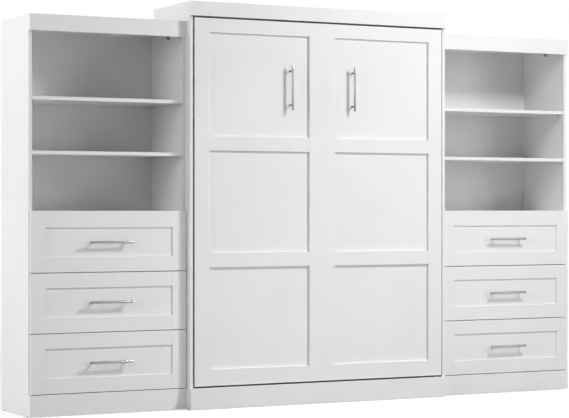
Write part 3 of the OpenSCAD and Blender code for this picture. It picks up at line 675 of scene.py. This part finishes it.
mattress = {"inset": 2 * mm, "voxel": 18 * mm, "cornerRadius": 34 * mm, "crown": 9 * mm,
            "pressure": 4.0, "frames": 20, "swell": 16 * mm, "quiltPitch": 150 * mm,
            "quiltDepth": 5.5 * mm, "seamHalf": 11 * mm, "faceFrom": 0.72, "plainBorder": 30 * mm,
            "fadeFrom": 40 * mm, "borderFade": 90 * mm, "clear": 0.4 * mm}
tape = {"radius": 4.5 * mm, "corner": 60 * mm, "inset": 9 * mm, "drop": 11 * mm, "cornerSteps": 12}


def mattressShell(low, high):
    # starts flatter than the CAD solid, by the crown that it gets after the swelling
    inset, crown = mattress["inset"], mattress["crown"]
    mesh = bmesh.new()
    addBoard(mesh, (low[0] + inset, low[1] + crown, low[2] + inset),
             (high[0] - inset, high[1] - crown, high[2] - inset), mattress["cornerRadius"], 6)
    data = bpy.data.meshes.new("mattress_pad")
    mesh.to_mesh(data)
    mesh.free()
    piece = bpy.data.objects.new("mattress_pad", data)
    bpy.context.scene.collection.objects.link(piece)
    return piece


def applyModifiers(piece):
    graph = bpy.context.evaluated_depsgraph_get()
    made = bpy.data.meshes.new_from_object(piece.evaluated_get(graph))
    piece.modifiers.clear()
    piece.data = made


def swellCloth(piece):
    # the ticking is blown up a little by the foam under it, as far as the cap lets it
    start = [v.co.copy() for v in piece.data.vertices]
    cloth = piece.modifiers.new("cloth", "CLOTH")
    cloth.settings.use_pressure = True
    cloth.settings.uniform_pressure_force = mattress["pressure"]
    cloth.settings.effector_weights.gravity = 0
    cloth.settings.quality = 4
    cloth.point_cache.frame_start = 1
    cloth.point_cache.frame_end = mattress["frames"]
    scene = bpy.context.scene
    for step in range(1, mattress["frames"] + 1):
        scene.frame_set(step)
    applyModifiers(piece)
    scene.frame_set(1)
    for vert, before in zip(piece.data.vertices, start):
        move = vert.co - before
        if move.length > mattress["swell"]:
            vert.co = before + move * mattress["swell"] / move.length


def quiltAt(x, z):
    # how deep the quilting thread pulls the ticking in at one place, from 0 to 1
    pitch = mattress["quiltPitch"]
    pull = 0
    for lean in (x + z, x - z):
        off = abs((lean / math.sqrt(2) + pitch / 2) % pitch - pitch / 2)
        pull = max(pull, math.exp(-((off / mattress["seamHalf"]) ** 2)))
    return pull


def quiltMattress(piece, low, high):
    # crowns both faces and pulls the quilting in, all inside the CAD box
    middle = (low + high) / 2
    half = (high - low) / 2
    crown, clear = mattress["crown"], mattress["clear"]
    for vert in piece.data.vertices:
        x, y, z = vert.co - middle
        ease = (1 - (abs(x) / half[0]) ** 4) * (1 - (abs(z) / half[2]) ** 6)
        reach = half[1] - crown + crown * max(ease, 0) ** 0.5 - clear
        border = min(half[0] - abs(x), half[2] - abs(z))
        fade = min(max((border - mattress["fadeFrom"]) / mattress["borderFade"], 0), 1)
        if abs(y) > mattress["faceFrom"] * half[1] and border > mattress["plainBorder"]:
            y = math.copysign(reach - mattress["quiltDepth"] * quiltAt(x, z) * fade, y)
        y = max(min(y, half[1] - clear), clear - half[1])
        x = max(min(x, half[0]), -half[0])
        z = max(min(z, half[2]), -half[2])
        vert.co = middle + Vector((x, y, z))


def addTapeEdges(low, high):
    # the sewn tape around both faces, where the quilted panel meets the border
    middle = (low + high) / 2
    half = (high - low) / 2
    corner = tape["corner"]
    reachX, reachZ = (half[i] - tape["inset"] - corner for i in (0, 2))
    points = []
    for quarter, (signX, signZ) in enumerate(((1, 1), (-1, 1), (-1, -1), (1, -1))):
        center = Vector((signX * reachX, 0, signZ * reachZ))
        for i in range(tape["cornerSteps"] + 1):
            angle = (quarter + i / tape["cornerSteps"]) * math.pi / 2
            points.append(center + corner * Vector((math.cos(angle), 0, math.sin(angle))))
    mesh = bmesh.new()
    for way in (-1, 1):
        level = Vector((0, way * (half[1] - mattress["crown"] - tape["drop"]), 0))
        addHoop(mesh, [middle + point + level for point in points], tape["radius"])
    finishPiece(mesh, "mattress_tape_edges", "ticking", "bed", ())


padLow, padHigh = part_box("mattress")
pad = mattressShell(padLow, padHigh)
remesh = pad.modifiers.new("even mesh", "REMESH")
remesh.mode = "VOXEL"
remesh.voxel_size = mattress["voxel"]
applyModifiers(pad)
swellCloth(pad)
finer = pad.modifiers.new("finer", "SUBSURF")
finer.levels = 1
finer.render_levels = 1
applyModifiers(pad)
quiltMattress(pad, padLow, padHigh)
pad.data.shade_smooth()
pad.data.materials.clear()
pad.data.materials.append(finishes["ticking"])
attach(pad, "bed")
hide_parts("mattress")
addTapeEdges(padLow, padHigh)
print("mattress made, faces:", len(pad.data.polygons))

strap = {"width": 50 * mm, "thickness": 1.5 * mm, "bend": 26 * mm, "bendSteps": 8,
         "plateWidth": 64 * mm, "plateHeight": 34 * mm, "plateThickness": 1.2 * mm,
         "plateEdge": 0.4 * mm, "plateDrop": 2 * mm, "screwReach": 20 * mm, "screwRadius": 4 * mm,
         "screwRise": 2.2 * mm}
strapLow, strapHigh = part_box("mattress_straps")
strapPlaces = (strapLow[2], strapHigh[2] - strap["width"])


def addStrap(mesh, z):
    # a flat band up one side of the mattress, across its face and down the other side
    half, bend = strap["thickness"] / 2, strap["bend"]
    outer, back = strapHigh[0] - half, strapHigh[1] - half
    path = [Vector((outer, strapLow[1])), Vector((outer, back - bend))]
    for i in range(1, strap["bendSteps"] + 1):
        angle = math.pi / 2 * i / strap["bendSteps"]
        path.append(Vector((outer - bend + bend * math.cos(angle),
                            back - bend + bend * math.sin(angle))))
    path += [Vector((-point[0], point[1])) for point in reversed(path)]
    rows = []
    for i, point in enumerate(path):
        run = (path[min(i + 1, len(path) - 1)] - path[max(i - 1, 0)]).normalized()
        out = Vector((run[1], -run[0])) * half
        corners = [(point + out, z), (point + out, z + strap["width"]),
                   (point - out, z + strap["width"]), (point - out, z)]
        rows.append([mesh.verts.new((p[0], p[1], h)) for p, h in corners])
    addSkin(mesh, rows)


mesh = bmesh.new()
for z in strapPlaces:
    addStrap(mesh, z)
finishPiece(mesh, "webbing_straps", "webbing", "bed", ["mattress_straps"], 60)

mesh = bmesh.new()
for z in strapPlaces:
    for way in (-1, 1):
        face, far = way * strapHigh[0], way * (strapHigh[0] + strap["plateThickness"])
        middle, reach = z + strap["width"] / 2, strap["plateWidth"] / 2
        addBoard(mesh, (face, strapLow[1] - strap["plateDrop"], middle - reach),
                 (far, strapLow[1] + strap["plateHeight"], middle + reach), strap["plateEdge"])
        for lean in (-1, 1):
            addScrew(mesh, (far, strapLow[1] + strap["plateHeight"] / 2,
                            middle + lean * strap["screwReach"]),
                     (way, 0, 0), strap["screwRadius"], strap["screwRise"])
finishPiece(mesh, "strap_plates", "zinc", "bed", ())
print("straps made")

handle = {"width": 28 * mm, "thickness": 1.6 * mm, "length": 210 * mm, "sewn": 28 * mm,
          "bow": 4 * mm, "steps": 20, "places": (800 * mm, 1240 * mm)}


def addHandle(mesh, way, low, middleY):
    # a strip sewn to the mattress side at both ends, bowed out a little between them
    half, sewn = handle["width"] / 2, handle["sewn"]
    rows = []
    for i in range(handle["steps"] + 1):
        along = handle["length"] * i / handle["steps"]
        free = (along - sewn) / (handle["length"] - 2 * sewn)
        bow = handle["bow"] * math.sin(math.pi * min(max(free, 0), 1)) ** 2
        inner = padHigh[0] + bow - mattress["clear"]
        outer = inner + handle["thickness"]
        rows.append([mesh.verts.new((way * x, middleY + across, low + along)) for x, across in
                     ((inner, -half), (inner, half), (outer, half), (outer, -half))])
    addSkin(mesh, rows)


mesh = bmesh.new()
for way in (-1, 1):
    for low in handle["places"]:
        addHandle(mesh, way, low, (padLow[1] + padHigh[1]) / 2)
finishPiece(mesh, "mattress_handles", "webbing", "bed", (), 60)
print("mattress handles made")

bolt = {"radius": 6.5 * mm, "rise": 3 * mm, "plate": 5 * mm, "behindSpindle": 40 * mm,
        "overSpindle": (110 * mm, 145 * mm, -60 * mm)}
plateScrew = {"radius": 5 * mm, "rise": 2.4 * mm, "plate": 6 * mm, "sideInset": 18 * mm,
              "overFoot": (25 * mm, 150 * mm), "underTop": (140 * mm, 22 * mm)}
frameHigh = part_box("bed_frame")[1]
joints = {joint["name"]: joint for joint in frame["joints"]}
foldY, foldZ = joints["bed_fold"]["pos_m"][1:]
boltHeights = [foldZ + over for over in bolt["overSpindle"]] + [joints["leg_swing"]["pos_m"][2]]
mesh = bmesh.new()
for way in (-1, 1):
    for z in boltHeights:
        addScrew(mesh, (way * (frameHigh[0] + bolt["plate"]), foldY - bolt["behindSpindle"], z),
                 (way, 0, 0), bolt["radius"], bolt["rise"])
finishPiece(mesh, "frame_bolts", "zinc", "bed", ())

low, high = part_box("cabinet_side_plates")
screwHeights = [low[2] + over for over in plateScrew["overFoot"]]
screwHeights += [high[2] - under for under in plateScrew["underTop"]]
mesh = bmesh.new()
for way in (-1, 1):
    for z in screwHeights:
        for y in (low[1] + plateScrew["sideInset"], high[1] - plateScrew["sideInset"]):
            addScrew(mesh, (way * (high[0] - plateScrew["plate"]), y, z), (-way, 0, 0),
                     plateScrew["radius"], plateScrew["rise"])
finishPiece(mesh, "cabinet_plate_screws", "zinc", "cabinet", ())
print("bolts and plate screws made")

strut = {"radius": 11 * mm, "seal": 6 * mm, "crimp": 5 * mm, "rollDrop": 1.2 * mm,
         "rollMiddle": (0.6 * mm, 0.2 * mm), "rollEnd": 1.6 * mm, "eyeDrop": 10 * mm,
         "eyeHalf": 5 * mm, "air": 0.2 * mm, "clipRadius": 8 * mm, "clipHole": 5.2 * mm,
         "clipThickness": 1 * mm}
cylinderLow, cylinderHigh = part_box("strut_cylinders")
rodLow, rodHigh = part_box("left_strut_rod")
strutX = -(rodLow[0] + rodHigh[0]) / 2
strutY = (rodLow[1] + rodHigh[1]) / 2
outer, seal, crimp = strut["radius"], strut["seal"], strut["crimp"]
rollAlong, rollDrop = strut["rollMiddle"]
clipThickness, hole, rim = strut["clipThickness"], strut["clipHole"], strut["clipRadius"]
clipX = strutX - strut["eyeHalf"] - strut["air"] - clipThickness
rings = bmesh.new()
clips = bmesh.new()
for way in (-1, 1):
    # the rolled end of the cylinder round its seal, and a clip on the stud beside the upper eye
    addLathe(rings, [(0, seal), (0, outer - strut["rollDrop"]), (rollAlong, outer - rollDrop),
                     (strut["rollEnd"], outer), (crimp, outer), (crimp, seal)],
             (way * strutX, strutY, cylinderLow[2] - crimp), (0, 0, 1), 32, True)
    addLathe(clips, [(0, hole), (0, rim), (clipThickness, rim), (clipThickness, hole)],
             (way * clipX, strutY, cylinderHigh[2] - strut["eyeDrop"]), (way, 0, 0), 28, True)
finishPiece(rings, "strut_seal_rings", "enamel", "cabinet", ())
finishPiece(clips, "strut_stud_clips", "zinc", "cabinet", ())
print("strut rings and clips made")

cameraView = {"place": (-5.1236, -9.6615, 1.109), "turn": 0.4779, "lens": 118.84, "sensor": 36,
              "farthest": 200}  # lens and sensor in mm, the rest in metres and radians
cameraData = bpy.data.cameras.new("camera")
cameraData.lens = cameraView["lens"]
cameraData.sensor_width = cameraView["sensor"]
cameraData.sensor_fit = "HORIZONTAL"
cameraData.clip_end = cameraView["farthest"]
camera = bpy.data.objects.new("camera", cameraData)
camera.location = cameraView["place"]
camera.rotation_euler = (math.pi / 2, 0, -cameraView["turn"])
bpy.context.scene.collection.objects.link(camera)
bpy.context.scene.camera = camera

room = {"behind": 0.65, "front": 0.136, "turnFrom": -0.1, "turnTo": 0.3, "floorColor": "#BCBCBC",
        "floorBounce": "#7C7C7C", "floorGlow": 0.56, "whiteFrom": 3.5, "whiteTo": 8.0,
        "floorReach": 60, "floorDrop": 0.2 * mm}
# each softbox: its place, its edge in metres, its power in watts and the point it is aimed at
softboxes = {
    "key": ((1.45, -1.75, 2.98), 0.4, 6.1, (0, 0, 1.2)),
    "far key": ((6.5, -7.0, 7.5), 1.2, 122, (0, 0, 1.2)),
    "high front": ((0.5, -4.5, 6.0), 4.0, 21, (0, 0, 1.2)),
    "left side": ((-6.0, 1.2, 2.4), 3.0, 102, (-1.74, 0, 1.1)),
    "right side": ((6.0, 1.2, 2.4), 3.0, 90, (1.74, 0, 1.1)),
    "far left": ((-9.0, -3.0, 3.0), 4.0, 257, (0, 0, 1.1)),
    "front right": ((5.0, -5.0, 2.2), 2.5, 94, (1.0, 0, 1.1)),
    "low bounce": ((0, -2.5, 0.5), 1.6, 9.9, (0, 0, 0.9))}


def seenByCamera(tree):
    # 1 where the camera, a reflection or clear glass looks, else 0
    path = addNode(tree, "LightPath").outputs
    first = addNode(tree, "Math", {"operation": "MAXIMUM"},
                    {0: path["Is Camera Ray"], 1: path["Is Glossy Ray"]})
    return addNode(tree, "Math", {"operation": "MAXIMUM"},
                   {0: first, 1: path["Is Transmission Ray"]})


def makeWorld():
    # white to look at; it lights the part more from behind than from the front
    world = bpy.data.worlds.new("white room")
    world.use_nodes = True
    tree = world.node_tree
    tree.nodes.clear()
    way = addNode(tree, "TexCoord").outputs["Generated"]
    depth = addNode(tree, "SeparateXYZ", None, {"Vector": way}).outputs["Y"]
    strength = addNode(tree, "MapRange", {"From Min": room["turnFrom"], "From Max": room["turnTo"],
                                          "To Min": room["front"], "To Max": room["behind"]},
                       {"Value": depth})
    light = addNode(tree, "Background", {"Color": (1, 1, 1, 1)}, {"Strength": strength})
    seen = addNode(tree, "Background", {"Color": (1, 1, 1, 1), "Strength": 1.0})
    mix = addNode(tree, "MixShader", None, {0: seenByCamera(tree), 1: light, 2: seen})
    addNode(tree, "OutputWorld", None, {"Surface": mix})
    bpy.context.scene.world = world


def makeFloor():
    # the camera sees a pale floor with the shadow on it, which runs out to plain white some metres
    # from the part; the part gets the bounce of a grey floor
    material = bpy.data.materials.new("pale floor")
    material.use_nodes = True
    tree = material.node_tree
    tree.nodes.clear()
    place = addNode(tree, "TexCoord").outputs["Object"]
    away = addNode(tree, "VectorMath", {"operation": "LENGTH"}, {0: place}).outputs["Value"]
    far = addNode(tree, "MapRange", {"From Min": room["whiteFrom"], "From Max": room["whiteTo"]},
                  {"Value": away})
    seen = seenByCamera(tree)
    shown = addNode(tree, "MixRGB", {"Color1": linearColor(room["floorColor"]),
                                     "Color2": linearColor("#000000")}, {"Fac": far})
    color = addNode(tree, "MixRGB", {"Color1": linearColor(room["floorBounce"])},
                    {"Fac": seen, "Color2": shown})
    plain = addNode(tree, "BsdfDiffuse", None, {"Color": color})
    glow = addNode(tree, "MapRange", {"To Min": room["floorGlow"]}, {"Value": far})
    strength = addNode(tree, "Math", {"operation": "MULTIPLY"}, {0: seen, 1: glow})
    shine = addNode(tree, "Emission", {"Color": (1, 1, 1, 1)}, {"Strength": strength})
    both = addNode(tree, "AddShader", None, {0: plain, 1: shine})
    addNode(tree, "OutputMaterial", None, {"Surface": both})
    mesh = bmesh.new()
    bmesh.ops.create_grid(mesh, x_segments=1, y_segments=1, size=room["floorReach"])
    data = bpy.data.meshes.new("floor")
    mesh.to_mesh(data)
    mesh.free()
    data.materials.append(material)
    floor = bpy.data.objects.new("floor", data)
    floor.location = (0, 0, -room["floorDrop"])
    bpy.context.scene.collection.objects.link(floor)


def addSoftbox(name, place, size, power, target):
    data = bpy.data.lights.new(name, "AREA")
    data.shape = "SQUARE"
    data.size = size
    data.energy = power
    lamp = bpy.data.objects.new(name, data)
    lamp.location = place
    lamp.rotation_euler = (Vector(target) - Vector(place)).to_track_quat("-Z", "Y").to_euler()
    lamp.visible_camera = False
    bpy.context.scene.collection.objects.link(lamp)
    return data


makeWorld()
makeFloor()
lamps = {name: addSoftbox(name, *settings) for name, settings in softboxes.items()}
# the key is as bright far away as near, so that the whole front gets the same light
lamps["key"].use_nodes = True
keyTree = lamps["key"].node_tree
fall = addNode(keyTree, "LightFalloff", {"Strength": 1.0})
keyTree.links.new(fall.outputs["Constant"], keyTree.nodes["Emission"].inputs["Strength"])
bpy.context.scene.view_settings.view_transform = "Standard"
print("camera and light set")
